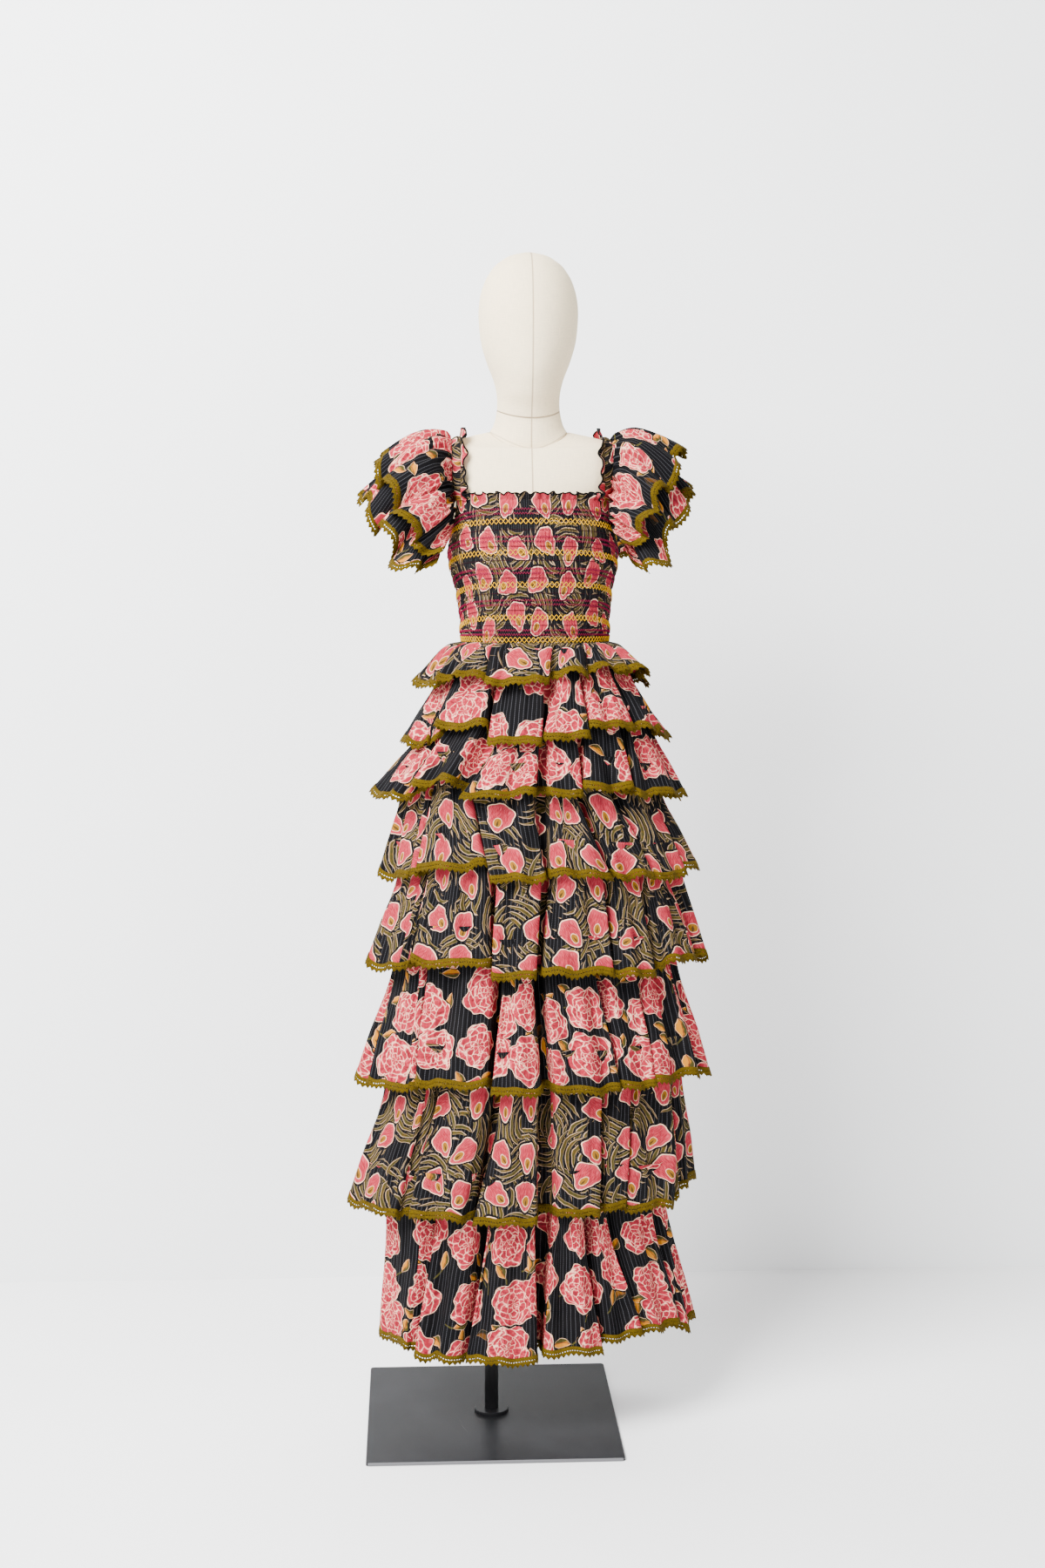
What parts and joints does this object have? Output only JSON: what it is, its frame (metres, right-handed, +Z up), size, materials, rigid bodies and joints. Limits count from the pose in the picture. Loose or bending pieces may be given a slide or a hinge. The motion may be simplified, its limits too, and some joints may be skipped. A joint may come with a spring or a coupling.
{
  "type": "tiered peasant dress on a dress form",
  "caption": "Floor-length tiered peasant dress with smocked bodice and layered flutter sleeves, on a linen-covered dress form with a black steel stand.",
  "frame": {"origin": "on the floor, on the underside of the base plate, under the dress form's vertical axis", "axes": "+Z up, the form and the dress face -Y, +X is to the viewer's right as the viewer faces the dress"},
  "size_m": [0.566, 0.4, 1.851],
  "materials": {
    "black_steel": "satin",
    "linen_cover": "matte",
    "flower_cotton": "matte",
    "rosette_cotton": "matte",
    "crochet_edging": "matte",
    "smocked_cotton": "matte",
    "frill_cotton": "matte"
  },
  "bodies": {
    "root": {"base_plate": "black_steel", "pole_flange": "black_steel", "pole": "black_steel", "form_torso": "linen_cover", "form_neck": "linen_cover", "form_head": "linen_cover", "bodice_front": "smocked_cotton", "bodice_back": "smocked_cotton", "neck_frill_front": "frill_cotton", "neck_frill_back": "frill_cotton", "strap_left": "frill_cotton", "strap_right": "frill_cotton", "strap_frill_left": "frill_cotton", "strap_frill_right": "frill_cotton", "sleeve_upper_left": "rosette_cotton", "sleeve_trim_upper_left": "crochet_edging", "sleeve_upper_right": "rosette_cotton", "sleeve_trim_upper_right": "crochet_edging", "sleeve_lower_left": "rosette_cotton", "sleeve_trim_lower_left": "crochet_edging", "sleeve_lower_right": "rosette_cotton", "sleeve_trim_lower_right": "crochet_edging", "tier_1": "flower_cotton", "trim_1": "crochet_edging", "tier_2": "rosette_cotton", "trim_2": "crochet_edging", "tier_3": "rosette_cotton", "trim_3": "crochet_edging", "tier_4": "flower_cotton", "trim_4": "crochet_edging", "tier_5": "flower_cotton", "trim_5": "crochet_edging", "tier_6": "rosette_cotton", "trim_6": "crochet_edging", "tier_7": "flower_cotton", "trim_7": "crochet_edging", "tier_8": "rosette_cotton", "trim_8": "crochet_edging"}
  },
  "joints": []
}
